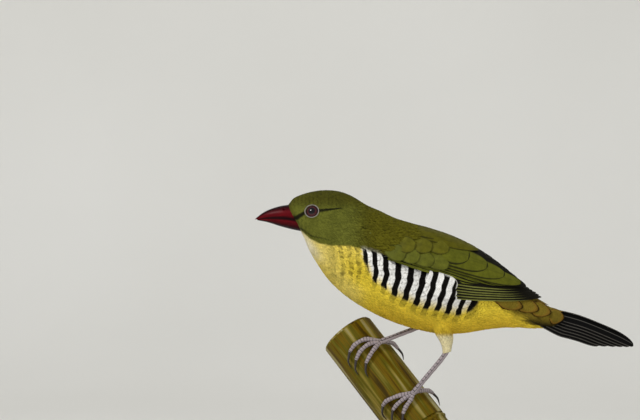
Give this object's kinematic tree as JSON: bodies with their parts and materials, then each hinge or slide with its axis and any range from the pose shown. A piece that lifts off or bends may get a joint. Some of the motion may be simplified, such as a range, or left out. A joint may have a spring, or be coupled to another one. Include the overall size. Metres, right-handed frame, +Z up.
{
  "type": "green avadavat model on a perch and stand",
  "caption": "Still, life-size museum model of a male green avadavat finch gripping a cut reed stem on a plain round stand",
  "frame": {"origin": "middle of the underside of the stand's round base, on the surface it rests on", "axes": "+Z up; the bird faces -X, its tail points to +X, its left side is -Y"},
  "size_m": [0.0983, 0.076, 0.0844],
  "materials": {
    "olive_plumage": "soft olive-green feathers",
    "yellow_plumage": "soft yellow feathers with black and white flank bars",
    "wing_feathers": "olive flight feathers with dark edges",
    "tail_feathers": "black tail feathers with fine grey edges",
    "crimson_bill": "waxy crimson horn",
    "eye_gloss": "glossy dark red-brown eye",
    "thigh_plumage": "downy cream feathers",
    "leg_skin": "scaled grey-pink skin",
    "claw_horn": "dark horn",
    "reed_stem": "dry olive-gold reed",
    "stand_wood": "satin dark wood",
    "stand_steel": "satin steel"
  },
  "bodies": {
    "root": {"head": "olive_plumage", "neck": "olive_plumage", "torso": "yellow_plumage", "tail": "tail_feathers", "wing_left": "wing_feathers", "wing_right": "wing_feathers", "bill_upper": "crimson_bill", "bill_lower": "crimson_bill", "eye_left": "eye_gloss", "eye_right": "eye_gloss", "thigh_left": "thigh_plumage", "thigh_right": "thigh_plumage", "leg_left": "leg_skin", "leg_right": "leg_skin", "claw_left_inner": "claw_horn", "claw_left_middle": "claw_horn", "claw_left_outer": "claw_horn", "claw_left_hind": "claw_horn", "claw_right_inner": "claw_horn", "claw_right_middle": "claw_horn", "claw_right_outer": "claw_horn", "claw_right_hind": "claw_horn", "perch_stem": "reed_stem", "stand_base": "stand_wood", "stand_rod_lower": "stand_steel", "stand_rod_upper": "stand_steel"}
  },
  "joints": []
}
